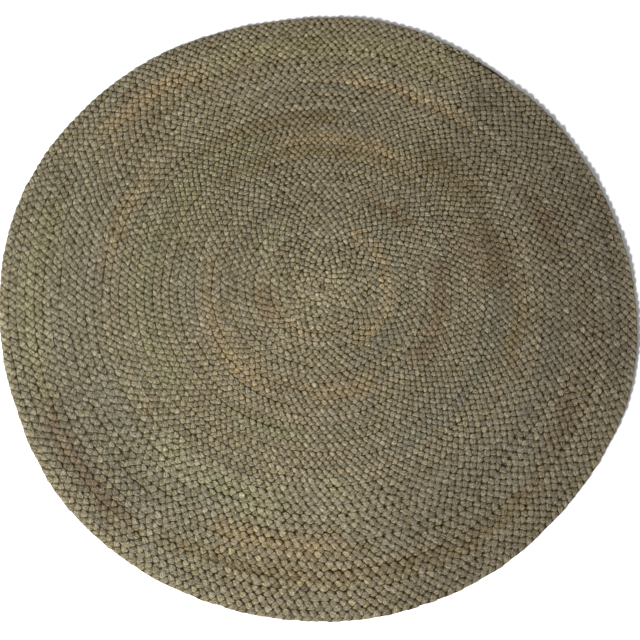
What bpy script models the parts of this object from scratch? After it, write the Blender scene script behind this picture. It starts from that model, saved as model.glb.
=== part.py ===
"""Round rug of one flat jute plait, coiled into a spiral and sewn edge to edge.

The rug is one solid. Its underside is flat. Its top rises along the middle of the plait and
dips at each sewn seam, turn after turn from the middle to the rim. The rim is rounded and as
uneven as on the real rug, and the plait's tail narrows to a tip that lies against it.

Metres, +Z up. The rug lies on the plane z = 0, with the origin under the middle of its box.
Bearings run counter-clockwise from +X, seen from above. The plait runs clockwise outwards.
"""

import math
from collections import namedtuple

import bpy
from mathutils import Vector, geometry

# The plait
PLAIT_WIDTH = 0.0158
PLAIT_THICKNESS = 0.008
SEAM_DEPTH = 0.0018  # from the plait's ridge down to the seam beside it
WHOLE_TURNS = 38
CORE_TURN = 0.43  # of a turn, folded on itself as the rug's core, before the whole turns

# The tail, where the plait ends at the rim
TAIL_TIP_BEARING = 48.0  # degrees
TAIL_TAPER = 27.0  # degrees of rim along which it narrows
NARROWEST_RIDGE = 0.006  # past this width the tail has no ridge and sinks to its tip

# The rim's rounded side: its outermost line lies this far outside the top's edge, this high
RIM_BULGE = 0.0018
RIM_BULGE_HEIGHT = 0.0035

# The rim's unevenness, every 20 degrees round it. The turns inside follow it less and less.
Uneven = namedtuple("Uneven", "bearing_degrees mm_outside_true_spiral")
RIM_UNEVENNESS = tuple(
    Uneven(*row)
    for row in (
        (0, -4),
        (20, -10),
        (40, -4),
        (60, -7),
        (80, -2),
        (100, -6),
        (120, 3),
        (140, 9),
        (160, 12),
        (180, 4),
        (200, -2),
        (220, 4),
        (240, 4),
        (260, 3),
        (280, 4),
        (300, 1),
        (320, -3),
        (340, 2),
    )
)
UNEVENNESS_FADE = 3.0  # power of the radius by which it fades towards the middle

# The turns are drawn in straight steps, which cut this far inside the true curve
STEP_SAGITTA = 0.0005
FEWEST_STEPS_A_TURN = 12

JUTE_COLOUR = (0.184, 0.156, 0.098, 1.0)
JUTE_ROUGHNESS = 0.95

# Angles along the plait count clockwise from where a true spiral would start, in radians
PLAIT_START = CORE_TURN * math.tau
PLAIT_END = PLAIT_START + WHOLE_TURNS * math.tau


def spiral_radius(angle):
    """Radius of the seam on the outer side of the plait, on a true spiral."""
    return max(0.0, PLAIT_WIDTH * angle / math.tau)


MIDDLE_OF_RIM = spiral_radius(PLAIT_END - math.pi)


def bearing_of(angle):
    """Bearing of a place along the plait, in radians."""
    return math.radians(TAIL_TIP_BEARING) + PLAIT_END - angle


def plait_width(angle):
    """The plait's width, which ends in a quarter wave at the tail's tip."""
    tail_left = (PLAIT_END - angle) / math.radians(TAIL_TAPER)
    return PLAIT_WIDTH * math.sin(math.pi / 2 * min(1.0, tail_left))


def unevenness(bearing):
    """How far the rim stands outside a true spiral, on a smooth curve through the table."""
    count = len(RIM_UNEVENNESS)
    place = bearing % math.tau / math.tau * count
    row = int(place)
    t = place - row
    rows = [RIM_UNEVENNESS[(row + i) % count] for i in (-1, 0, 1, 2)]
    before, a, b, after = (near.mm_outside_true_spiral / 1000 for near in rows)
    slope_a, slope_b = (b - before) / 2, (after - a) / 2
    smooth = t * t * (3 - 2 * t)
    return a + (b - a) * smooth + slope_a * t * (1 - t) ** 2 - slope_b * t * t * (1 - t)


def place_on_plait(angle, across, set_in=0.0):
    """Plan position on the plait: across is 0 at its inner seam and 1 at its outer edge."""
    inner = spiral_radius(angle - math.tau)
    outer = inner + plait_width(angle) if inner > 0 else spiral_radius(angle)
    radius = inner + (outer - inner) * across - set_in
    bearing = bearing_of(angle)
    radius += unevenness(bearing) * (radius / MIDDLE_OF_RIM) ** UNEVENNESS_FADE
    return Vector((radius * math.cos(bearing), radius * math.sin(bearing)))


def turn_angles(turn):
    """Evenly stepped angles of one whole turn, without its last."""
    start = PLAIT_START + turn * math.tau
    radius = spiral_radius(start + math.tau)
    steps = max(FEWEST_STEPS_A_TURN, math.ceil(math.pi * math.sqrt(radius / STEP_SAGITTA / 2)))
    return [start + math.tau * i / steps for i in range(steps)]


def seam_line():
    """The plait's outer edge without its last turn, which is the seam, up to the tail's tip."""
    return [place_on_plait(a, 1) for turn in range(WHOLE_TURNS - 1) for a in turn_angles(turn)]


def rim_line():
    """The top's edge: the outer edge of the last turn, from the tail's tip clockwise round."""
    return [place_on_plait(a, 1, RIM_BULGE) for a in turn_angles(WHOLE_TURNS - 1)]


def ridge_line():
    """The plait's middle, with its points between those of the seams beside it."""
    line = []
    for turn in range(WHOLE_TURNS):
        angles = turn_angles(turn)
        half_step = (angles[1] - angles[0]) / 2
        middles = [angle + half_step for angle in angles]
        line += [place_on_plait(a, 0.5) for a in middles if plait_width(a) > NARROWEST_RIDGE]
    return line


def chain(first, count):
    """Edges that join so many points in a row."""
    return [(first + i, first + i + 1) for i in range(count - 1)]


def top_surface():
    """Points and triangles of the top, and how many points its rim has, which come first."""
    rim, seam, ridge = rim_line(), seam_line(), ridge_line()
    plan = rim + seam + ridge + [Vector((0, 0))]
    ridge_first = len(rim) + len(seam)
    edges = chain(0, len(rim)) + [(len(rim) - 1, 0)]
    edges += chain(len(rim), len(seam)) + [(ridge_first - 1, 0)]
    edges += chain(ridge_first, len(ridge))
    inside_the_edges = 1
    made = geometry.delaunay_2d_cdt(plan, edges, [], inside_the_edges, 1e-7)
    points, triangles, sources = made[0], made[2], made[3]
    seam_height = PLAIT_THICKNESS - SEAM_DEPTH
    heights = [seam_height] * ridge_first + [PLAIT_THICKNESS] * (len(ridge) + 1)
    top = [point.to_3d() for point in points]
    for point, source in zip(top, sources):
        point.z = heights[source[0]]
    return top, triangles, len(rim)


def rug_mesh():
    """The closed rug: its top, its rounded rim and its flat underside."""
    points, faces, rim_count = top_surface()
    bulge_first = len(points)
    foot_first = bulge_first + rim_count
    outwards = [Vector((p.x, p.y, 0)).normalized() * RIM_BULGE for p in points[:rim_count]]
    for offset, height in ((1, RIM_BULGE_HEIGHT), (0, 0)):
        for point, out in zip(points[:rim_count], outwards):
            points.append(Vector((point.x, point.y, height)) + out * offset)
    underside_middle = len(points)
    points.append(Vector((0, 0, 0)))
    for i in range(rim_count):
        j = (i + 1) % rim_count
        faces += [(i, j, bulge_first + j, bulge_first + i)]
        faces += [(bulge_first + i, bulge_first + j, foot_first + j, foot_first + i)]
        faces += [(foot_first + i, foot_first + j, underside_middle)]
    mesh = bpy.data.meshes.new("plaited_rug")
    mesh.from_pydata(points, [], faces)
    mesh.update()
    return mesh


def centre_in_plan(mesh):
    """Moves the mesh so that the middle of its box is over the origin."""
    xs, ys = ([vertex.co[axis] for vertex in mesh.vertices] for axis in (0, 1))
    middle = Vector((max(xs) + min(xs), max(ys) + min(ys), 0)) / 2
    for vertex in mesh.vertices:
        vertex.co -= middle


def jute_material():
    """Raw jute: olive beige and matt."""
    material = bpy.data.materials.new("jute")
    material.use_nodes = True
    shader = material.node_tree.nodes["Principled BSDF"]
    shader.inputs["Base Color"].default_value = JUTE_COLOUR
    shader.inputs["Roughness"].default_value = JUTE_ROUGHNESS
    return material


def main():
    for old in list(bpy.data.objects):
        bpy.data.objects.remove(old)
    mesh = rug_mesh()
    centre_in_plan(mesh)
    mesh.materials.append(jute_material())
    rug = bpy.data.objects.new("plaited_rug", mesh)
    bpy.context.scene.collection.objects.link(rug)


main()
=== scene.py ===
# %% [markdown]
# # A round rug of plaited jute
#
# The real thing is one flat plait of three jute strands, about 72 m long. The maker coils it on a
# table, from the middle outwards, and sews each turn to the last one edge to edge. Nothing is
# woven, printed or bound, so all that the eye sees is the plait itself: two half rows of fat,
# leaf-shaped lobes in each turn, with dark crevices between them.
#
# A bumpy disc would be the quick way to fake it. Here the three strands are modelled as strands,
# laid over and under each other along the whole spiral, because then the crevices, the scalloped
# rim and the ribbed underside all come by themselves, and they hold up from every side.

import math
from collections import namedtuple

import bpy
import numpy as np
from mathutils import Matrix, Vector
from mathutils.bvhtree import BVHTree


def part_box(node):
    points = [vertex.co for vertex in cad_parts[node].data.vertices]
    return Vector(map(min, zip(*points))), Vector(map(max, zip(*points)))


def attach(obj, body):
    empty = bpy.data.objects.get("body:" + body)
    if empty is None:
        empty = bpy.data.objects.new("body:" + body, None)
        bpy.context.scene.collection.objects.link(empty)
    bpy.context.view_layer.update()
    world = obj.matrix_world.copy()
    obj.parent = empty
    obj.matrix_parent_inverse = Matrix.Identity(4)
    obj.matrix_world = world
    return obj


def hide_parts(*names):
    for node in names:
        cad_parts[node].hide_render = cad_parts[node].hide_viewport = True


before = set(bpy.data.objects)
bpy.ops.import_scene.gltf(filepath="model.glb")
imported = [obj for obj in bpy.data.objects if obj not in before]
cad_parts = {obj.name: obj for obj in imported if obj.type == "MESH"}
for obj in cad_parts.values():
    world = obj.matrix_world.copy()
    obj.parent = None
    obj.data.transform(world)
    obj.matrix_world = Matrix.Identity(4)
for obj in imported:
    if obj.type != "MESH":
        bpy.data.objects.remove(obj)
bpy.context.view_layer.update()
rug_low, rug_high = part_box("plaited_rug")
print("rug in the frame:", [round(1000 * side, 1) for side in rug_high - rug_low], "mm")

# %% [markdown]
# ## The plait's own sizes
#
# These are the sizes that the solid was built from, so every turn made here lies on its turn
# there. All lengths are in metres and all angles in radians, unless a name says otherwise.

# %% Sizes of the plait and of the rim
PLAIT_WIDTH = 0.0158
PLAIT_THICKNESS = rug_high.z - rug_low.z
WHOLE_TURNS = 38
CORE_TURN = 0.43  # of a turn, folded on itself before the whole turns
TAIL_TIP_BEARING = math.radians(48)
TAIL_TAPER = math.radians(27)
RIM_UNEVENNESS_MM = (-4, -10, -4, -7, -2, -6, 3, 9, 12, 4, -2, 4, 4, 3, 4, 1, -3, 2)
UNEVENNESS_FADE = 3.0

PLAIT_START = CORE_TURN * math.tau
PLAIT_END = PLAIT_START + WHOLE_TURNS * math.tau
print(f"{WHOLE_TURNS} turns of a plait {1000 * PLAIT_WIDTH} mm wide")

# %% [markdown]
# ## Where a point of the plait lies
#
# An angle counts clockwise along the plait from where a true spiral would start. The plait is as
# wide as the spiral's pitch and narrows to nothing along its tail. The rim of a rug coiled by hand
# isn't a true circle, so the turns near it follow a table of small bulges and flats, one for every
# 20 degrees, and those further in follow it less and less.

# %% Radius, width and unevenness


def spiral_radius(angle):
    """Radius of the seam on the outer side of the plait, on a true spiral."""
    return np.maximum(0.0, PLAIT_WIDTH * angle / math.tau)


def bearing_of(angle):
    """Bearing of a place along the plait."""
    return TAIL_TIP_BEARING + PLAIT_END - angle


def plait_width(angle):
    """The plait's width, which ends in a quarter wave at the tail's tip."""
    tail_left = np.clip((PLAIT_END - angle) / TAIL_TAPER, 0, 1)
    return np.minimum(PLAIT_WIDTH * np.sin(math.pi / 2 * tail_left), spiral_radius(angle))


def unevenness(bearing):
    """The rim's distance outside a true spiral, on a smooth curve through the table."""
    rows = np.array(RIM_UNEVENNESS_MM) / 1000
    place = bearing % math.tau / math.tau * len(rows)
    row = place.astype(int) % len(rows)
    t = place - np.floor(place)
    before, a, b, after = (rows[(row + i) % len(rows)] for i in (-1, 0, 1, 2))
    slope_a, slope_b = (b - before) / 2, (after - a) / 2
    smooth = t * t * (3 - 2 * t)
    return a + (b - a) * smooth + slope_a * t * (1 - t) ** 2 - slope_b * t * t * (1 - t)


# %% [markdown]
# A place on the rug is so far along the plait and so far sideways from its middle. The helper
# below finds where that is on the floor. Every later step goes through it, so that nothing made
# here can drift away from the turns of the solid.

# %% Place on the rug


def on_the_rug(angle, sideways):
    """Places that lie so far sideways, outwards, of the plait's middle, from the spiral's pole."""
    inner = spiral_radius(angle - math.tau)
    radius = inner + plait_width(angle) / 2 + sideways
    bearing = bearing_of(angle)
    rim_radius = spiral_radius(PLAIT_END - math.pi)
    radius = radius + unevenness(bearing) * (np.abs(radius) / rim_radius) ** UNEVENNESS_FADE
    return np.stack([radius * np.cos(bearing), radius * np.sin(bearing)], -1)


# The spiral's pole isn't quite under the middle of the rug's box, so the rim tells where it is.
RIM_POINTS = 721  # one for every half degree
rim = on_the_rug(np.linspace(PLAIT_END - math.tau, PLAIT_END, RIM_POINTS), PLAIT_WIDTH / 2)
pole = -(rim.max(0) + rim.min(0)) / 2
print("the spiral's pole:", np.round(1000 * pole, 1), "mm")

# %% [markdown]
# ## Uneven by hand
#
# No two lobes of a hand-made plait are alike, and the whole plait wanders a little as it is sewn
# down. A noise texture could push points about, but it would bend a lobe in its middle. So the
# unevenness is drawn along the plait: random numbers at even steps, eased into each other, all
# from one seeded source, which makes the rug the same each time the script runs. A lobe's curve
# has one draw for each lobe, and the plait's has one every 50 mm.

# %% A smooth random curve
rng = np.random.default_rng(12)
WIDEST_DRAW = 2.2  # times the spread, past which a draw would look like a mistake


def drawn_along(place, spread):
    """A smooth random curve: one draw at each whole number, eased into the next, read at place."""
    limit = WIDEST_DRAW * spread
    draws = rng.normal(0, spread, int(place.max()) + 3).clip(-limit, limit)
    whole = np.floor(place).astype(int).clip(0, len(draws) - 2)
    t = (place - whole).clip(0, 1)
    ease = t * t * (3 - 2 * t)
    return draws[whole] * (1 - ease) + draws[whole + 1] * ease


# %% [markdown]
# ## How far apart the lobes are
#
# A plait is not equally tight everywhere. Counted on the photo, its lobes are 13 to 14 mm apart
# in most of the rug and 16 mm apart in the outer turns, and in the small core they crowd together.
# The table is read at 5000 places a turn, and a random curve makes some stretches tighter.

# %% Pitch of the lobes
Pitch = namedtuple("Pitch", "radius lobe_mm")
LOBE_PITCHES = (
    Pitch(0.00, 8.0),
    Pitch(0.01, 10.0),
    Pitch(0.03, 12.5),
    Pitch(0.05, 13.5),
    Pitch(0.08, 14.1),
    Pitch(0.17, 13.8),
    Pitch(0.21, 13.9),
    Pitch(0.25, 12.9),
    Pitch(0.33, 13.3),
    Pitch(0.37, 13.7),
    Pitch(0.40, 16.0),
)
PITCH_SPREAD = 0.04  # share by which a stretch is tighter or looser
WANDER_STEP = 0.05
STRANDS_START = 0.05 * math.tau  # the strands begin just off the pole
STEPS_A_TURN = 5000

fine_angle = np.arange(STRANDS_START, PLAIT_END, math.tau / STEPS_A_TURN)
middle_radius = spiral_radius(fine_angle - math.tau) + plait_width(fine_angle) / 2
step_length = middle_radius * (fine_angle[1] - fine_angle[0])
along_plait = np.cumsum(step_length)
fine_steps = along_plait / WANDER_STEP
table_radii, table_pitches = np.array(LOBE_PITCHES).T
lobe_pitch = np.interp(middle_radius, table_radii, table_pitches) / 1000
lobe_pitch *= 1 + drawn_along(fine_steps, PITCH_SPREAD)
print(f"plait of {along_plait[-1]:.1f} m, its lobes {1000 * lobe_pitch.mean():.1f} mm apart")

# %% [markdown]
# ## A trodden side and a side of deeper painted shade
#
# The left side looks trodden. The lobes lie flatter there, and as that side faces the lamp, the
# painted shade of the crevices in the plait is faint, and the seams between turns stand out as
# lines. On the far side the crevices get deeper painted shade.
# The table says so for every 30 degrees of bearing, and the next steps read it where it matters.
# The core is sewn flat, so it counts as trodden all round.

# %% Wear by bearing
CORE_RADIUS = 0.03
Wear = namedtuple("Wear", "bearing_degrees trodden crisp")
# The trodden column flattens the lobes and spares the crevices most of their painted shade. The last
# column deepens that painted shade.
WEAR = (
    Wear(0, 0.0, 0.3),
    Wear(30, 0.0, 0.7),
    Wear(60, 0.0, 1.0),
    Wear(90, 0.0, 1.0),
    Wear(120, 0.1, 0.7),
    Wear(150, 0.8, 0.0),
    Wear(180, 1.0, 0.0),
    Wear(210, 0.9, 0.0),
    Wear(240, 0.3, 0.0),
    Wear(270, 0.0, 0.3),
    Wear(300, 0.0, 0.3),
    Wear(330, 0.0, 0.3),
)


def core_share(radius):
    """1 at the pole, fading to nothing outside the core."""
    return np.exp(-((radius / CORE_RADIUS) ** 2))


def wear_at(bearing, radius):
    """How trodden the rug is at its places, and how much its painted crevice shade deepens, each
    from 0 to 1.
    """
    bearings, trodden, deeper_painted_shade = np.array(WEAR).T
    trodden, deeper_painted_shade = (
        np.interp(np.degrees(bearing), bearings, column, period=360) for column in (trodden, deeper_painted_shade)
    )
    core = core_share(radius)
    return trodden + (1 - trodden) * core, deeper_painted_shade * (1 - core)


most_trodden = max(WEAR, key=lambda row: row.trodden)
print("trodden most at a bearing of", most_trodden.bearing_degrees, "degrees")

# %% [markdown]
# ## Turns that nest
#
# Where two turns are sewn together, a lobe of the outer one slips into the hollow between two
# lobes of the inner one. Laid without that, the seams stand out as straight lines, which most of
# the real rug doesn't show. So each turn looks at the turn inside it, and its lobes are pulled
# towards the nearest hollow there, though never all the way. Near the middle the turns bend too
# sharply for it, and on the trodden side the lobes were pressed out of the hollows again, so there
# the pull fades out.

# %% Lobes counted along the plait
NESTING = 2.5  # 1 leaves the lobes where they fall, and more pulls them harder
MOST_PULL = 0.6  # how much of that pull acts where it is full
NESTING_FROM = 0.016  # radius at which it sets in
NESTING_GROWS_OVER = 0.15  # how much further out it is full

laid_free = np.cumsum(step_length / lobe_pitch)
lobes = laid_free.copy()
pull = ((middle_radius - NESTING_FROM) / NESTING_GROWS_OVER).clip(0, 1)
trodden_along = wear_at(bearing_of(fine_angle), middle_radius)[0]
pull *= MOST_PULL * (1 - trodden_along)
for start in range(STEPS_A_TURN, len(lobes), STEPS_A_TURN):
    here = slice(start, min(start + STEPS_A_TURN, len(lobes)))
    inside = lobes[start - STEPS_A_TURN : here.stop - STEPS_A_TURN]
    ahead = laid_free[here] - inside
    share = ahead % 1
    nested = share**NESTING / (share**NESTING + (1 - share) ** NESTING)
    lobes[here] = inside + np.floor(ahead) + share + (nested - share) * pull[here]
print(int(lobes[-1]), "lobes in each half row")

# %% [markdown]
# ## How the strands run in the plait
#
# In a three-strand plait each strand swings from edge to edge and dives under its neighbour twice
# in each swing. Seen from above it is a sine wave, and its height is a sine of double the pace:
# that is the whole recipe of a flat plait. One full swing shows two lobes on top, one in each half
# row, and three strands a third of a swing apart fill both half rows. The whole plait also
# wanders a little: sideways, up and down, and rolled to one side or the other.

# %% Swings and wander
STRANDS = 3
WANDER_SIDEWAYS = 0.0004  # spreads of the draws for the whole plait
WANDER_HEIGHT = 0.0002
WANDER_ROLL = math.radians(2.5)

swing_phase = lobes * math.tau / STRANDS
swings = int(swing_phase[-1] / math.tau)
wander_sideways = drawn_along(fine_steps, WANDER_SIDEWAYS)
wander_height = drawn_along(fine_steps, WANDER_HEIGHT)
wander_roll = drawn_along(fine_steps, WANDER_ROLL)


def head_start(number):
    """How far a strand's own swings run ahead of the plait's count of them."""
    return math.tau * number / STRANDS


print(swings, "swings of each strand")

# %% [markdown]
# ## The strand's path and section
#
# Where a strand shows on top it is a fat, flattened bundle. Where it crosses under the middle of
# the plait it is pressed thinner, and at the plait's edge it folds back on itself, so there it is
# narrow and nearly as tall as the plait. In the tail all of this shrinks with the plait's width,
# and in the tight turns of the core a strand bulges wider to fill them.

# %% Sizes of the section
SWING_HALF_WIDTH = 0.0064
POINTEDNESS = 0.12  # share of a faster wave, which draws the lobes' outer ends to a point
SWING_HALF_HEIGHT = 0.0020
TRODDEN_HEIGHT = 0.7  # share of it left where the rug is trodden most
LOBE_HALF_WIDTH = 0.0063
CROSSING_HALF_WIDTH = 0.0055
EDGE_HALF_WIDTH = 0.0030
LOBE_HALF_THICKNESS = 0.0020
CROSSING_HALF_THICKNESS = 0.0015
EDGE_HALF_THICKNESS = 0.0029
EDGE_SHARPNESS = 8  # the higher, the shorter the fold at the plait's edge
USUAL_PITCH = 0.0148  # at which a lobe has just these widths
CORE_BULGE = 0.25  # how much wider the strands are at the pole
NARROWEST_SWING = 0.1  # share of the swing that is left at the tail's tip
NARROWEST_STRAND = 0.45  # and of a strand's width
THINNEST_STRAND = 0.5  # and of its thickness


def sections(t):
    """Half widths of a strand's lobes and of its folds, and its half thickness, at places t."""
    at_edge = np.abs(np.cos(t)) ** EDGE_SHARPNESS
    in_lobe = np.abs(np.sin(2 * t))
    width = CROSSING_HALF_WIDTH + (LOBE_HALF_WIDTH - CROSSING_HALF_WIDTH) * in_lobe
    thick = CROSSING_HALF_THICKNESS + (LOBE_HALF_THICKNESS - CROSSING_HALF_THICKNESS) * in_lobe
    thick = thick * (1 - at_edge) + EDGE_HALF_THICKNESS * at_edge
    return width * (1 - at_edge), EDGE_HALF_WIDTH * at_edge, thick


lobe_size = [round(2000 * half, 1) for half in (LOBE_HALF_WIDTH, LOBE_HALF_THICKNESS)]
print("a lobe is", lobe_size, "mm wide and thick")

# %% [markdown]
# A strand's own unevenness comes on top: each lobe lies a little further out or in, higher or
# lower, and is wider, thicker or more rolled than the next. The path also keeps two things for the
# finish: how trodden the strand is, which spares its crevices most of their painted shade, and how
# near it comes to its seam. The sewing thread pulls the plait down there, and the finish paints the
# seam as a dark line of shade, which stays even where the crevices' painted shade is spared.

# %% The path of a strand
SIDEWAYS_SPREAD = 0.00035  # spreads of the draws for each lobe
HEIGHT_SPREAD = 0.0002
WIDTH_SPREAD = 0.08  # as a share of the width, and the next of the thickness
THICKNESS_SPREAD = 0.06
ROLL_SPREAD = math.radians(6)
LOBE_BEFORE_EDGE = 0.25  # of half a swing, from the top of a lobe to the plait's edge
SEAM_FREE = 0.7  # share of the swing up to which a strand is clear of its seam
SEAM_FROM = 0.95  # share of it from which it lies in the seam
SEAM_MARKED = 0.4  # how marked a seam is where the rug isn't trodden, if it is 1 where it is most
Path = namedtuple("Path", "line half_width half_thickness roll turn trodden seam")


def lobe_count(t):
    """Lobes that a strand has shown at places t of its swing, a whole number at each top."""
    return t / math.pi + LOBE_BEFORE_EDGE


def strand_path(number, t):
    """The middle line and sections of a strand at places t of its swing."""
    angle, pitch, sideways, height, roll = (
        np.interp(t - head_start(number), swing_phase, curve)
        for curve in (fine_angle, lobe_pitch, wander_sideways, wander_height, wander_roll)
    )
    lobe = lobe_count(t)
    share = (plait_width(angle) / PLAIT_WIDTH).clip(NARROWEST_SWING, 1)
    wave = (np.cos(t) + POINTEDNESS * np.cos(3 * t)) / (1 + POINTEDNESS)
    swing = SWING_HALF_WIDTH * wave * share
    sideways = sideways + swing + drawn_along(lobe, SIDEWAYS_SPREAD)
    height = height + PLAIT_THICKNESS / 2 + swing * np.tan(roll)
    trodden = wear_at(bearing_of(angle), spiral_radius(angle))[0]
    rise = SWING_HALF_HEIGHT * (1 - (1 - TRODDEN_HEIGHT) * trodden) * share
    height += -rise * np.sin(2 * t) + drawn_along(lobe, HEIGHT_SPREAD)
    width, edge_width, thick = sections(t)
    width = width * pitch / USUAL_PITCH + edge_width
    bulge = 1 + CORE_BULGE * core_share(spiral_radius(angle))
    width *= share.clip(NARROWEST_STRAND, 1) * bulge * (1 + drawn_along(lobe, WIDTH_SPREAD))
    tail_thickness = THINNEST_STRAND + (1 - THINNEST_STRAND) * share
    thick *= tail_thickness * (1 + drawn_along(lobe, THICKNESS_SPREAD))
    roll = roll + drawn_along(lobe, ROLL_SPREAD)
    line = np.column_stack([pole + on_the_rug(angle, sideways), height])
    at_seam = ((np.abs(np.cos(t)) - SEAM_FREE) / (SEAM_FROM - SEAM_FREE)).clip(0, 1)
    turn = (angle - PLAIT_START) / math.tau
    seam = at_seam * (SEAM_MARKED + (1 - SEAM_MARKED) * trodden)
    return Path(line, width, thick, roll, turn, trodden * (1 - at_seam), seam)


# %% [markdown]
# ## The arcs of colour
#
# The jute isn't dyed. Its bundles come from different stalks, and where several bundles of one
# shade lie side by side, the rug shows a soft arc: tan, brown, pale or grey. Some rows are painted
# shade instead. The first three darken the lower right, the side away from the lamp, and the left,
# where the lamp brightens it most, and the two grey rows after them darken the left as well. The two
# lighter rows make the core and the far side paler. Painting the arcs across the rug would run
# colour over the crevices, so the table only says where they lie and each strand then picks up their
# shade where it passes. Bearings are in degrees, counter-clockwise from +X, and may be negative or
# run past 360. The first row is the wide painted shade at the lower right.

# %% Tints and arcs
TINTS = {
    # The first tint is painted shade. The bluish grey is the jute's own in most rows, but painted
    # shade in two rows at the left.
    "shaded": (0.74, 0.73, 0.77),
    "tan": (1.34, 1.12, 0.92),
    "brown": (0.80, 0.70, 0.54),
    "red_brown": (0.74, 0.60, 0.54),
    "slate": (0.84, 0.90, 0.98),
    "rose": (1.24, 1.16, 1.16),
    "pale_green": (1.02, 1.13, 1.00),
    "straw": (1.08, 1.12, 0.88),
    "lighter": (1.22, 1.22, 1.19),
}
Arc = namedtuple("Arc", "from_bearing to_bearing radius_mm half_width_mm tint")
ARCS = tuple(
    Arc(*row)
    for row in (
        # painted shade: the darker lower right, away from the lamp, and the darker left, where the
        # lamp brightens it
        (285, 415, 540, 190, "shaded"),
        (340, 385, 550, 70, "shaded"),
        (195, 232, 530, 60, "shaded"),
        # painted shade: two grey rows that darken the left, where the lamp brightens it
        (150, 250, 500, 110, "slate"),
        (165, 200, 240, 60, "slate"),
        (-185, 185, 20, 60, "lighter"),
        (55, 130, 505, 95, "lighter"),
        (200, 275, 95, 16, "rose"),
        (180, 215, 112, 12, "red_brown"),
        (300, 425, 128, 12, "tan"),
        (120, 150, 135, 20, "pale_green"),
        (290, 420, 155, 16, "slate"),
        (105, 160, 183, 10, "slate"),
        (35, 65, 213, 12, "red_brown"),
        (165, 245, 216, 12, "tan"),
        (265, 300, 208, 16, "tan"),
        (320, 375, 228, 18, "red_brown"),
        (0, 45, 245, 16, "slate"),
        (235, 265, 288, 12, "pale_green"),
        (55, 132, 290, 12, "brown"),
        (0, 25, 330, 40, "red_brown"),
        (295, 360, 325, 30, "slate"),
        (110, 220, 330, 30, "pale_green"),
        (60, 105, 318, 16, "tan"),
        (85, 130, 366, 12, "brown"),
        (30, 55, 345, 30, "brown"),
        (335, 360, 375, 14, "brown"),
        (225, 262, 415, 26, "pale_green"),
        (148, 172, 412, 12, "tan"),
        (200, 222, 438, 24, "slate"),
        (50, 85, 456, 14, "tan"),
        (10, 25, 455, 18, "red_brown"),
        (245, 275, 480, 18, "tan"),
        (300, 350, 440, 30, "slate"),
        (60, 115, 535, 30, "straw"),
        (118, 142, 540, 22, "tan"),
        (240, 315, 532, 14, "brown"),
        (205, 232, 550, 18, "red_brown"),
        (160, 205, 545, 25, "straw"),
        (322, 338, 505, 16, "red_brown"),
    )
)
ARC_FADE = 9.0  # degrees, half of them past an arc's end, over which it fades in or out
ARC_STRENGTH = 0.6  # share of its tint that the middle of an arc takes


def arc_tint(bearing, radius):
    """The arcs' colour at points of the rug."""
    colour = np.ones((len(bearing), 3))
    for arc in ARCS:
        middle = (arc.from_bearing + arc.to_bearing) / 2
        beyond = np.abs((bearing - middle + 180) % 360 - 180) - (arc.to_bearing - middle)
        lengthwise = (0.5 - beyond / ARC_FADE).clip(0, 1)
        sidewise = np.exp(-(((1000 * radius - arc.radius_mm) / arc.half_width_mm) ** 2))
        colour *= np.array(TINTS[arc.tint]) ** (ARC_STRENGTH * lengthwise * sidewise)[:, None]
    return colour


print(len(ARCS), "arcs in", len(TINTS), "tints")

# %% [markdown]
# ## The colour along a strand
#
# A strand changes its shade every third of a metre or so, where one bundle ends and the next
# begins, and each lobe differs a little from the next: mostly paler or darker, and a touch warmer
# or greener. All of it becomes one colour for each ring of the strand, kept in the mesh, so that a
# colour always follows its strand.

# %% Colour of each ring
BUNDLE_LENGTH = 0.35
ARC_RAGGEDNESS = 0.004  # how far a lobe may stray from where the arc's edge falls
WIDEST_STRAY_AT = 0.02  # radius inside which a lobe's bearing strays no further
Spreads = namedtuple("Spreads", "of_bundles of_lobes")
LIGHTNESS = Spreads(0.10, 0.09)  # in shares of the colour, as are the next two
WARMTH = Spreads(0.02, 0.008)
GREENNESS = Spreads(0.009, 0.004)


def strand_colour(line, t, number):
    """Colour of each ring of a strand, from the arcs, the strand's bundles and its lobes."""
    lobe = lobe_count(t)
    bundle = np.interp(t - head_start(number), swing_phase, along_plait) / BUNDLE_LENGTH
    from_pole = line[:, :2] - pole
    radius = np.hypot(*from_pole.T) + drawn_along(lobe, ARC_RAGGEDNESS)
    bearing = np.degrees(np.arctan2(from_pole[:, 1], from_pole[:, 0]))
    bearing += np.degrees(drawn_along(lobe, ARC_RAGGEDNESS) / radius.clip(WIDEST_STRAY_AT, None))
    lightness, warmth, greenness = (
        drawn_along(bundle, spreads.of_bundles) + drawn_along(lobe, spreads.of_lobes)
        for spreads in (LIGHTNESS, WARMTH, GREENNESS)
    )
    drift = np.column_stack([lightness + warmth, lightness + greenness, lightness - warmth])
    return arc_tint(bearing, radius) * np.exp(drift)


# %% [markdown]
# ## Rings of a strand
#
# A ring is needed wherever the section changes quickly. Each swing has twelve, closer together
# over its two visible lobes than underneath, which keeps the lobes round without spending faces
# where nobody looks. Each ring stands square to the strand's path and leans by its roll.

# %% A whole strand
STATION_PHASES = np.radians((0, 45, 90, 112, 135, 158, 180, 225, 270, 292, 315, 338))
LENGTH_BETWEEN_STRANDS = 200  # metres, so that no two strands share a stretch of fibre pattern
Strand = namedtuple("Strand", "line side up half_width half_thickness length turn tint trodden seam")


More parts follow.
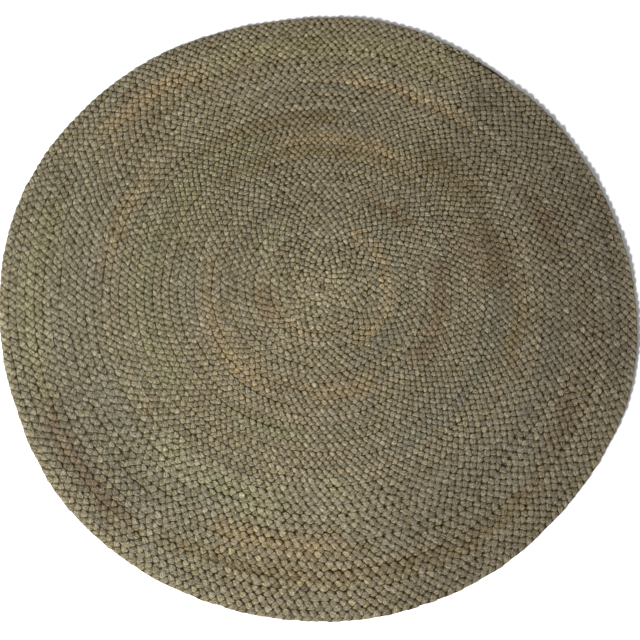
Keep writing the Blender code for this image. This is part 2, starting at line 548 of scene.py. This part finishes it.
def whole_strand(number):
    """One row for each ring of a strand, from the pole to the tail's tip."""
    stations = np.arange(-1, swings * len(STATION_PHASES))
    swing, step_in_swing = np.divmod(stations, len(STATION_PHASES))
    t = swing * math.tau + STATION_PHASES[step_in_swing]
    first, last = head_start(number), swing_phase[-1] + head_start(number)
    t = t[(t > first) & (t < last)]
    path = strand_path(number, t)
    along = np.gradient(path.line, axis=0)
    step = np.linalg.norm(along, axis=1)[:, None]
    along /= step
    side = np.cross((0, 0, 1), along)
    side /= np.linalg.norm(side, axis=1)[:, None]
    up = np.cross(along, side)
    cos, sin = np.cos(path.roll)[:, None], np.sin(path.roll)[:, None]
    side, up = side * cos + up * sin, up * cos - side * sin
    return Strand(
        line=path.line,
        side=side,
        up=up,
        half_width=path.half_width,
        half_thickness=path.half_thickness,
        length=np.cumsum(step[:, 0]) + LENGTH_BETWEEN_STRANDS * number,
        turn=path.turn,
        tint=strand_colour(path.line, t, number),
        trodden=path.trodden,
        seam=path.seam,
    )


# %% [markdown]
# ## A straight tube
#
# A strand starts as a straight tube: a short open cylinder, repeated by an array, welded and
# closed at its ends. Its length counts rings, and the next step lays each ring where the plait
# wants it. A Curve modifier would do that for an even rope, but not for one whose section changes
# from a flat lobe to a round fold and back twice in each swing.

# %% A straight tube by hand
SIDES = 8
WELD_DISTANCE = 0.0001


def straight_tube(name, segments):
    """A closed tube along X, of so many segments that are each one unit long."""
    bpy.ops.object.select_all(action="DESELECT")
    bpy.ops.mesh.primitive_cylinder_add(
        vertices=SIDES,
        radius=1,
        depth=1,
        end_fill_type="NOTHING",
        rotation=(0, math.pi / 2, 0),
        calc_uvs=False,
    )
    tube = bpy.context.object
    tube.name = tube.data.name = name
    bpy.ops.object.transform_apply(location=False, rotation=True, scale=False)
    repeat = tube.modifiers.new("segments", "ARRAY")
    repeat.count = segments
    repeat.relative_offset_displace = (1, 0, 0)
    repeat.use_merge_vertices = True
    repeat.merge_threshold = WELD_DISTANCE
    bpy.ops.object.modifier_apply(modifier=repeat.name)
    bpy.ops.object.mode_set(mode="EDIT")
    bpy.ops.mesh.select_all(action="DESELECT")
    bpy.ops.mesh.select_mode(type="EDGE")
    bpy.ops.mesh.select_non_manifold()
    bpy.ops.mesh.fill_holes(sides=0)
    bpy.ops.mesh.select_all(action="SELECT")
    bpy.ops.mesh.normals_make_consistent(inside=False)
    bpy.ops.object.mode_set(mode="OBJECT")
    bpy.ops.object.shade_smooth()
    return tube


# %% [markdown]
# A script reads and writes a mesh quickest as arrays, all of its points at once. The first helper
# reads any of its numbers so. The second finds which ring and side each point belongs to, from
# where it lies on the straight tube. That is easy now, and would be hard once the tube is laid.

# %% Reading a mesh


def numbers_of(items, name, kind=int, width=1):
    """One property of all points, corners or faces of a mesh, as an array."""
    found = np.empty(len(items) * width, kind)
    items.foreach_get(name, found)
    return found.reshape(-1, width) if width > 1 else found


def ring_and_side(tube):
    """Number of the ring, and of the side in its ring, of each point of a straight tube."""
    at = numbers_of(tube.data.vertices, "co", float, 3)
    ring = np.rint(at[:, 0] - at[:, 0].min()).astype(int)
    side = np.rint(np.arctan2(at[:, 2], at[:, 1]) / math.tau * SIDES).astype(int) % SIDES
    return ring, side


# %% [markdown]
# ## Laying a tube along the plait
#
# A bundle of fibres pressed between its neighbours isn't an ellipse: its top is flatter and its
# flanks are steeper. A superellipse gives that with one number. Six of the eight sides are spread
# over the top half, where they show. Each point also keeps its place in the strand, so many
# metres along it, across it and up, because the fibres of the finish run along the strand and no
# other coordinates know where that is. Its tint, which holds some painted shade, and how trodden it
# is, which spares it painted shade, are kept beside that. The table under the rug and the press of
# the plait flatten the lowest and the highest lobes.

# %% Lay a strand
SQUARENESS = 3.0  # 2 is an ellipse
SIDE_ANGLES = np.radians((0, 36, 72, 108, 144, 180, 240, 300))
STANDS_PROUD = 0.0006  # how far the highest lobes may rise above the solid
HIGHEST = PLAIT_THICKNESS + STANDS_PROUD


def squared(value):
    """A sine or cosine of the way round an ellipse, pushed out towards a box."""
    return np.sign(value) * np.abs(value) ** (2 / SQUARENESS)


def keep(tube, name, values, kind="FLOAT", field="value"):
    """Keeps a number, or a vector, for each point of a tube in its mesh."""
    kept = tube.data.attributes.new(name, kind, "POINT")
    kept.data.foreach_set(field, values.ravel())


def lay_strand(tube, strand, ring, side_number):
    """Moves the points of a straight tube onto the rug, and keeps their place and colour."""
    around = SIDE_ANGLES[side_number]
    across = squared(np.cos(around)) * strand.half_width[ring]
    upwards = squared(np.sin(around)) * strand.half_thickness[ring]
    placed = strand.line[ring] + strand.side[ring] * across[:, None]
    placed += strand.up[ring] * upwards[:, None]
    placed[:, 2] = placed[:, 2].clip(0, HIGHEST)
    tube.data.vertices.foreach_set("co", placed.ravel())
    own_place = np.column_stack([strand.length[ring], across, upwards])
    keep(tube, "in_strand", own_place, "FLOAT_VECTOR", "vector")
    tint = tube.data.color_attributes.new("tint", "FLOAT_COLOR", "POINT")
    colour = np.column_stack([strand.tint[ring], np.ones(len(ring))])
    tint.data.foreach_set("color", colour.ravel())
    keep(tube, "trodden", strand.trodden[ring])
    tube.data.update()


# %% [markdown]
# ## A flat map of a tube
#
# A program that can't read these material nodes gets the finish as a picture, and then each face
# needs its own place in that picture. Smart UV Project finds such places by itself, but it would
# tear these tubes into thousands of crumbs. A tube unrolls into one long ribbon, so the ribbon is
# cut into lengths that lie in the picture one above the other, as lines of text do. It is slit
# along the underside. The two small end faces go in a margin at the left.

# %% Unroll a tube into lines
MAP_LINES = 38
LINE_SHARE = 0.92  # of a line's height that the ribbon takes, the rest being gap
MARGIN = 0.01  # of the map's width, for the end faces
END_FACE_RADIUS = 0.004
FIRST_END_LEVEL = 0.25  # where in the margin's height the two end faces lie
LAST_END_LEVEL = 0.75
SLIT_SIDE = SIDES - 1


def way_round():
    """How far round a lobe's section each side lies, from the slit and back to it, from 0 to 1."""
    angles = SIDE_ANGLES[(np.arange(SIDES + 1) + SLIT_SIDE) % SIDES]
    across = squared(np.cos(angles)) * LOBE_HALF_WIDTH
    upwards = squared(np.sin(angles)) * LOBE_HALF_THICKNESS
    way = np.cumsum(np.hypot(np.diff(across), np.diff(upwards)))
    return np.concatenate([[0], way / way[-1]])


def flat_map(tube, ring, side_number, length):
    """Gives a tube its UV map, from the ring and side of its points and the length at each ring."""
    mesh = tube.data
    point = numbers_of(mesh.loops, "vertex_index")
    first_corner = numbers_of(mesh.polygons, "loop_start")
    corner_count = numbers_of(mesh.polygons, "loop_total")
    order = (side_number[point] - SLIT_SIDE) % SIDES
    lowest, highest = (pick.reduceat(order, first_corner) for pick in (np.minimum, np.maximum))
    order[(order == 0) & np.repeat(highest - lowest > 1, corner_count)] = SIDES
    segment = np.minimum.reduceat(ring[point], first_corner)
    line_starts = -(-np.arange(MAP_LINES + 1) * ring.max() // MAP_LINES)
    line = np.searchsorted(line_starts[:-1], segment, side="right") - 1
    line = np.repeat(line, corner_count)
    start, end = length[line_starts[line]], length[line_starts[line + 1]]
    x = MARGIN + (1 - MARGIN) * (length[ring[point]] - start) / (end - start)
    y = (line + 0.5 + LINE_SHARE * (way_round()[order] - 0.5)) / MAP_LINES
    end_face = np.repeat(corner_count > 4, corner_count)
    around = side_number[point][end_face] * math.tau / SIDES
    x[end_face] = MARGIN / 2 + END_FACE_RADIUS * np.cos(around)
    level = np.where(ring[point][end_face] > 0, LAST_END_LEVEL, FIRST_END_LEVEL)
    y[end_face] = level + END_FACE_RADIUS * np.sin(around)
    uv_map = mesh.uv_layers.new(name="OFBake")  # the name by which the export knows it
    uv_map.uv.foreach_set("vector", np.column_stack([x, y]).astype(np.float32).ravel())


# %% [markdown]
# ## All the strands
#
# Each strand becomes two pieces, the inner half of its lobes and the outer half, because one mesh
# of 150,000 faces is more than most programs that take the rug further want in one piece. The
# outer piece starts on the very ring that the inner one ends on, so the cut doesn't show.

# %% Six tubes laid
tubes = []
strands_of_tubes = []
turns_of_points = []
seams_of_points = []
for number, letter in enumerate("abc"):
    strand = whole_strand(number)
    half = len(strand.line) // 2
    for part, first, last in (("inner", 0, half), ("outer", half, len(strand.line) - 1)):
        tube = straight_tube(f"strand_{letter}_{part}", last - first)
        ring, side_number = ring_and_side(tube)
        lay_strand(tube, strand, first + ring, side_number)
        flat_map(tube, ring, side_number, strand.length[first : last + 1])
        tubes.append(tube)
        strands_of_tubes.append(number)
        turns_of_points.append(strand.turn[first + ring])
        seams_of_points.append(strand.seam[first + ring])
        print(tube.name, len(tube.data.polygons), "faces")

# %% [markdown]
# ## How close the next strand is
#
# Hardly any light gets in between two lobes of the real rug, so the finish paints a dark line of
# shade wherever two strands meet. The Pointiness input sees the sharp edges of one mesh but not its
# neighbours, and an Ambient Occlusion node would search again in every render. So the distance to
# the next strand is measured once for every point, with trees of faces that find the nearest one
# quickly, and kept in the mesh for the material's painted shade.

# %% The faces of all strands in one list
point_counts = [len(tube.data.vertices) for tube in tubes]
first_points = np.cumsum([0, *point_counts])
points = np.concatenate([numbers_of(tube.data.vertices, "co", float, 3) for tube in tubes]).tolist()
turn_of_point = np.concatenate(turns_of_points)
from_pole = np.array(points)[:, :2] - pole
deeper_shade_of_point = wear_at(np.arctan2(from_pole[:, 1], from_pole[:, 0]), np.hypot(*from_pole.T))[1]
strand_of_point = np.repeat(strands_of_tubes, point_counts)
quads_of_tubes = []
for first, tube in zip(first_points, tubes):
    corners = numbers_of(tube.data.loops, "vertex_index")
    sizes = numbers_of(tube.data.polygons, "loop_total")
    quads_of_tubes.append(first + corners[np.repeat(sizes == 4, sizes)].reshape(-1, 4))
quads = np.concatenate(quads_of_tubes)
print(len(points), "points and", len(quads), "faces with four corners")

# %% [markdown]
# A strand meets the two other strands of its plait, and in the turns beside it any strand, its own
# included. It must only not find itself. So there is a tree for each strand, and trees of every
# second turn, in which a point of the turn between finds its neighbours. Close to where one turn
# ends and the next begins, a count that is half a turn ahead takes over.

# %% Trees of faces


def tree_of(chosen):
    """A tree of the chosen faces."""
    return BVHTree.FromPolygons(points, quads[chosen].tolist())


def odd(turn, half_turns_ahead):
    """1 in every second turn and 0 in those between, with the count moved on by half turns."""
    return (np.floor(turn + half_turns_ahead / 2) % 2).astype(int)


strand_of_quad = strand_of_point[quads[:, 0]]
turn_of_quad = turn_of_point[quads[:, 0]]
strand_trees = [tree_of(strand_of_quad == number) for number in range(STRANDS)]
turn_trees = [[tree_of(odd(turn_of_quad, ahead) == which) for which in (0, 1)] for ahead in (0, 1)]
print(len(strand_trees) + len(turn_trees) * 2, "trees")

# %% [markdown]
# Each point now asks the two other strands, and the turns beside its own, for their nearest face.
# A point that lies inside a neighbour counts as closer than touching. On the far side and at the
# seams, the strands are taken as a little closer still, which makes the painted shade of the
# crevices there darker.

# %% The clearance of every point
REACH = 0.003  # past this distance a neighbour keeps no light out
NEAR_A_CUT = 0.25  # turns
# These two make the painted crevice shade darker, on the far side and along the seams.
DEEPER_SHADE_CLEARANCE = 0.0003  # by which the strands seem closer on the crisp side
SEAM_CLEARANCE = 0.0005  # and at a seam, which the thread pulls down

ahead_of_point = (np.abs(turn_of_point - np.rint(turn_of_point)) < NEAR_A_CUT).astype(int)
odd_of_point = odd(turn_of_point, ahead_of_point)
clearance = np.full(len(points), REACH)
for number, point in enumerate(points):
    at = Vector(point)
    own = strand_of_point[number]
    beside = turn_trees[ahead_of_point[number]][1 - odd_of_point[number]]
    others = strand_trees[own - 1], strand_trees[own - 2]
    for tree in (*others, beside):
        near, normal, _, distance = tree.find_nearest(at, REACH)
        if near is not None:
            buried = (at - near).dot(normal) < 0
            clearance[number] = min(clearance[number], -distance if buried else distance)
# deeper painted shade in the crevices of the far side and along the seams
clearance -= DEEPER_SHADE_CLEARANCE * deeper_shade_of_point
clearance -= SEAM_CLEARANCE * np.concatenate(seams_of_points)
for tube, first, last in zip(tubes, first_points, first_points[1:]):
    keep(tube, "clearance", clearance[first:last])
print("middle clearance", round(1000 * float(np.median(clearance)), 2), "mm")

# %% [markdown]
# ## The finish: raw jute
#
# Jute is a coarse, matt fibre. Close up, a strand is a bundle of hundreds of fibres that run along
# it, pale ones and dark ones, standing a little proud of each other. An image of fibres would
# repeat, and fibres modelled one by one would be millions of hairs, so they are noise, drawn out
# along the strand in the strand's own coordinates. First come a few small helpers, because most
# nodes here are a sum, a range, a blend of colours or a value that the mesh keeps.

# %% Node helpers
jute = bpy.data.materials.new("jute")
jute.use_nodes = True
nodes, links = jute.node_tree.nodes, jute.node_tree.links
shader = nodes["Principled BSDF"]


def feed(socket, value):
    """Links a node's output to a socket, or sets a plain number or colour on it."""
    if isinstance(value, bpy.types.NodeSocket):
        links.new(value, socket)
    else:
        socket.default_value = value


def math_node(operation, a, b=0.0):
    """A sum, product or other operation on one or two numbers."""
    node = nodes.new("ShaderNodeMath")
    node.operation = operation
    feed(node.inputs[0], a)
    feed(node.inputs[1], b)
    return node.outputs[0]


def mapped(value, low, high, to_low, to_high, interpolation="LINEAR"):
    """The value's range from low to high, stretched to another range and cut off past its ends."""
    node = nodes.new("ShaderNodeMapRange")
    node.interpolation_type = interpolation
    for socket, given in zip(node.inputs, (value, low, high, to_low, to_high)):
        feed(socket, given)
    return node.outputs["Result"]


def mixed(blend_type, factor, a, b):
    """Colour b mixed into colour a, or multiplied with it, by a factor."""
    node = nodes.new("ShaderNodeMix")
    node.data_type = "RGBA"
    node.blend_type = blend_type
    for name, given in (("Factor_Float", factor), ("A_Color", a), ("B_Color", b)):
        feed(next(socket for socket in node.inputs if socket.identifier == name), given)
    return next(socket for socket in node.outputs if socket.identifier == "Result_Color")


def kept_in_mesh(name, output):
    """A value that the points of the mesh keep."""
    node = nodes.new("ShaderNodeAttribute")
    node.attribute_name = name
    return node.outputs[output]


# %% [markdown]
# ## Fibres
#
# Two noises are multiplied: one for the tufts of pale and dark fibres, about 2 mm across, and one
# for the fibres in them, under a millimetre. Both are three times longer than wide or more.
# The product is the fibres' tone, which is their relief too, as the pale ones are those on top.

# %% Fibres along the strand
TUFTS_PER_METRE = (140, 420, 420)  # along the strand, across it and through it
FIBRES_PER_METRE = (300, 1300, 1300)
TUFT_TONES = (0.2, 1.8)
FIBRE_TONES = (0.1, 1.9)
NOISE_LOW, NOISE_HIGH = 0.3, 0.7  # where nearly all of a noise texture's values lie
DARK_FIBRE = (0.122, 0.092, 0.034, 1)
PALE_FIBRE = (0.568, 0.508, 0.360, 1)
DARKEST_TONE = 0.2  # tones at which a fibre is fully dark or pale
PALEST_TONE = 2.2
TUFT_DETAIL = 2.0
FIBRE_DETAIL = 3.0
NOISE_ROUGHNESS = 0.6
in_strand = kept_in_mesh("in_strand", "Vector")


def fibre_noise(per_metre, detail):
    """Noise with so many spots a metre along, across and through the strand."""
    stretch = nodes.new("ShaderNodeMapping")
    feed(stretch.inputs["Vector"], in_strand)
    feed(stretch.inputs["Scale"], per_metre)
    noise = nodes.new("ShaderNodeTexNoise")
    feed(noise.inputs["Vector"], stretch.outputs["Vector"])
    feed(noise.inputs["Scale"], 1.0)
    feed(noise.inputs["Detail"], detail)
    feed(noise.inputs["Roughness"], NOISE_ROUGHNESS)
    return noise.outputs["Fac"]


tufts = mapped(fibre_noise(TUFTS_PER_METRE, TUFT_DETAIL), NOISE_LOW, NOISE_HIGH, *TUFT_TONES)
fibres = mapped(fibre_noise(FIBRES_PER_METRE, FIBRE_DETAIL), NOISE_LOW, NOISE_HIGH, *FIBRE_TONES)
tone = math_node("MULTIPLY", tufts, fibres)
pale_share = mapped(tone, DARKEST_TONE, PALEST_TONE, 0.0, 1.0)
fibre_colour = mixed("MIX", pale_share, DARK_FIBRE, PALE_FIBRE)
print(len(nodes), "nodes so far")

# %% [markdown]
# ## Crevices
#
# The clearance says how near the next strand is, and the height says how deep a point lies. The
# colour of a point is painted with shade if it is low in the plait, and also if a neighbour lies
# close, unless it is up on the very top or bottom, where light always gets in. Where the rug is
# trodden, the lobes are pressed together and a crevice keeps most of its light, so most of its
# painted shade is left out, but for the seams. The jute on top is also painted a little more
# neutral, as a painted highlight, and down in the plait a little yellower, as painted shade, though
# least where the rug is trodden.

# %% Painted highlight on tops and painted shade in crevices
# painted shade: the dark colour of crevices and low points
PAINTED_CREVICE_SHADE = (0.026, 0.016, 0.003, 1)
# The next two colours are painted light: yellower as painted shade down in the plait, more neutral
# as a painted highlight on top.
PAINTED_SHADE_YELLOW = (1.045, 0.985, 0.81, 1)
PAINTED_HIGHLIGHT_TINT = (0.988, 1.01, 1.085, 1)
LIT_FROM = 0.0010  # above or below the plait's middle, as are the others of this kind
LIT_FULLY = 0.0028
TOP_FROM = 0.0024
TOP_FULLY = 0.0036
TOP_SHARE = 0.75  # share of its light that the very top keeps beside a close neighbour
PAINTED_HIGHLIGHT_FROM = 0.0016
PAINTED_HIGHLIGHT_FULLY = 0.0040
CLOSE = 0.0001  # distances to the next strand
CLEAR = 0.0010
SPARED_FROM_PAINTED_SHADE = 0.7  # share of its light that a crevice in the trodden plait keeps at least

place = nodes.new("ShaderNodeTexCoord").outputs["Object"]
split = nodes.new("ShaderNodeSeparateXYZ")
feed(split.inputs[0], place)
above_middle = math_node("SUBTRACT", split.outputs["Z"], PLAIT_THICKNESS / 2)
from_middle = math_node("ABSOLUTE", above_middle)
out_of_depth = mapped(from_middle, LIT_FROM, LIT_FULLY, 0.0, 1.0, "SMOOTHSTEP")
clear = mapped(kept_in_mesh("clearance", "Fac"), CLOSE, CLEAR, 0.0, 1.0, "SMOOTHSTEP")
on_top = mapped(from_middle, TOP_FROM, TOP_FULLY, 0.0, TOP_SHARE, "SMOOTHSTEP")
light_share = math_node("MULTIPLY", out_of_depth, math_node("MAXIMUM", clear, on_top))
# where the rug is trodden, the painted crevice shade is mostly left out
spared_from_painted_shade = math_node("MULTIPLY", kept_in_mesh("trodden", "Fac"), SPARED_FROM_PAINTED_SHADE)
light_share = math_node("MAXIMUM", light_share, spared_from_painted_shade)

# painted highlight tint on the tops, and painted shade tint lower down
painted_highlight_share = mapped(from_middle, PAINTED_HIGHLIGHT_FROM, PAINTED_HIGHLIGHT_FULLY, 0.0, 1.0)
painted_highlight_share = math_node("MAXIMUM", painted_highlight_share, spared_from_painted_shade)
highlight_and_shade_tint = mixed("MIX", painted_highlight_share, PAINTED_SHADE_YELLOW, PAINTED_HIGHLIGHT_TINT)
tinted = mixed("MULTIPLY", 1.0, fibre_colour, kept_in_mesh("tint", "Color"))
lobe_colour = mixed("MULTIPLY", 1.0, tinted, highlight_and_shade_tint)
# painted shade mixed in wherever light_share is low
colour = mixed("MIX", light_share, PAINTED_CREVICE_SHADE, lobe_colour)
print(len(nodes), "nodes with the crevices")

# %% [markdown]
# ## Matt and fibrous
#
# Jute has hardly any shine, so the shader is rough with little specular. The bump is strong for
# its size, because each fibre casts a tiny shadow on the next.

# %% The shader
JUTE_ROUGHNESS = 0.8
JUTE_SPECULAR = 0.12
FIBRE_RELIEF = 0.0012

bump = nodes.new("ShaderNodeBump")
feed(bump.inputs["Strength"], 1.0)
feed(bump.inputs["Distance"], FIBRE_RELIEF)
feed(bump.inputs["Height"], tone)
feed(shader.inputs["Base Color"], colour)
feed(shader.inputs["Roughness"], JUTE_ROUGHNESS)
feed(shader.inputs["Specular IOR Level"], JUTE_SPECULAR)
feed(shader.inputs["Normal"], bump.outputs["Normal"])
for tube in tubes:
    tube.data.materials.append(jute)
print(len(nodes), "nodes in the jute material")

# %% [markdown]
# ## The camera
#
# The photo was taken from nearly above, with the camera a little before the rug and tilted towards
# it. How much the far side narrows gives the distance, and how flat the circle looks gives the
# tilt, so the camera here stands where the photo's did.

# %% Camera
CAMERA_FROM_POLE = (-0.0018, -0.6475)
CAMERA_HEIGHT = 1.7138
CAMERA_TILT = math.radians(18.83)
CAMERA_LENS = 54.4  # mm

scene = bpy.context.scene
bpy.ops.object.camera_add(
    location=(pole[0] + CAMERA_FROM_POLE[0], pole[1] + CAMERA_FROM_POLE[1], CAMERA_HEIGHT),
    rotation=(CAMERA_TILT, 0, 0),
)
camera = bpy.context.object
camera.name = "camera"
camera.data.lens = CAMERA_LENS
scene.camera = camera
print("camera at", [round(number, 3) for number in camera.location])

# %% [markdown]
# ## Floor and light
#
# A plain pale floor stands for the photo's white ground. One soft lamp stands rather low at the
# front left, where the photo's light comes from, so that every lobe has a bright and a dark flank,
# and an even white world fills the shadows. The Standard view keeps the colours as they were mixed.

# %% Floor, world and lamp
FLOOR_COLOUR = (0.95, 0.95, 0.95, 1)
FLOOR_SIDE = 30
WORLD_STRENGTH = 0.36
KEY_BEARING = math.radians(228)
KEY_ELEVATION = math.radians(31)
KEY_DISTANCE = 5.0
KEY_POWER = 555  # watts
KEY_SIZE = 1.0

bpy.ops.mesh.primitive_plane_add(size=FLOOR_SIDE, location=(0, 0, 0))
floor = bpy.context.object
floor.name = "floor"
pale = bpy.data.materials.new("floor_pale")
pale.use_nodes = True
pale.node_tree.nodes["Principled BSDF"].inputs["Base Color"].default_value = FLOOR_COLOUR
floor.data.materials.append(pale)

world = bpy.data.worlds.new("soft_room")
world.use_nodes = True
background = world.node_tree.nodes["Background"]
background.inputs["Color"].default_value = (1, 1, 1, 1)
background.inputs["Strength"].default_value = WORLD_STRENGTH
scene.world = world

towards_key = Vector((math.cos(KEY_BEARING), math.sin(KEY_BEARING), math.tan(KEY_ELEVATION)))
bpy.ops.object.light_add(type="AREA", location=towards_key.normalized() * KEY_DISTANCE)
key = bpy.context.object
key.name = "key"
key.data.energy = KEY_POWER
key.data.size = KEY_SIZE
key.rotation_euler = towards_key.to_track_quat("Z", "Y").to_euler()
scene.view_settings.view_transform = "Standard"
print("lamp at", [round(number, 2) for number in key.location])

# %% [markdown]
# ## What the pieces are
#
# The six tubes take the place of the frame's one solid and lie still with it. Nothing is cut for
# this rug, because it is coiled to its size. The inner tubes cover a disc 0.82 m across, a little
# less than half of the rug's 1.13 square metres because the longest lobes are near the rim, and the
# outer ones the ring round it, out to 1.2 m. Each is taken as half of the rug's 1.13 square metres:
# a disc of 0.85 m for the inner tubes, and the ring round it, out to 1.2 m, for the outer ones.

for tube in tubes:
    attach(tube, "root")
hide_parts("plaited_rug")
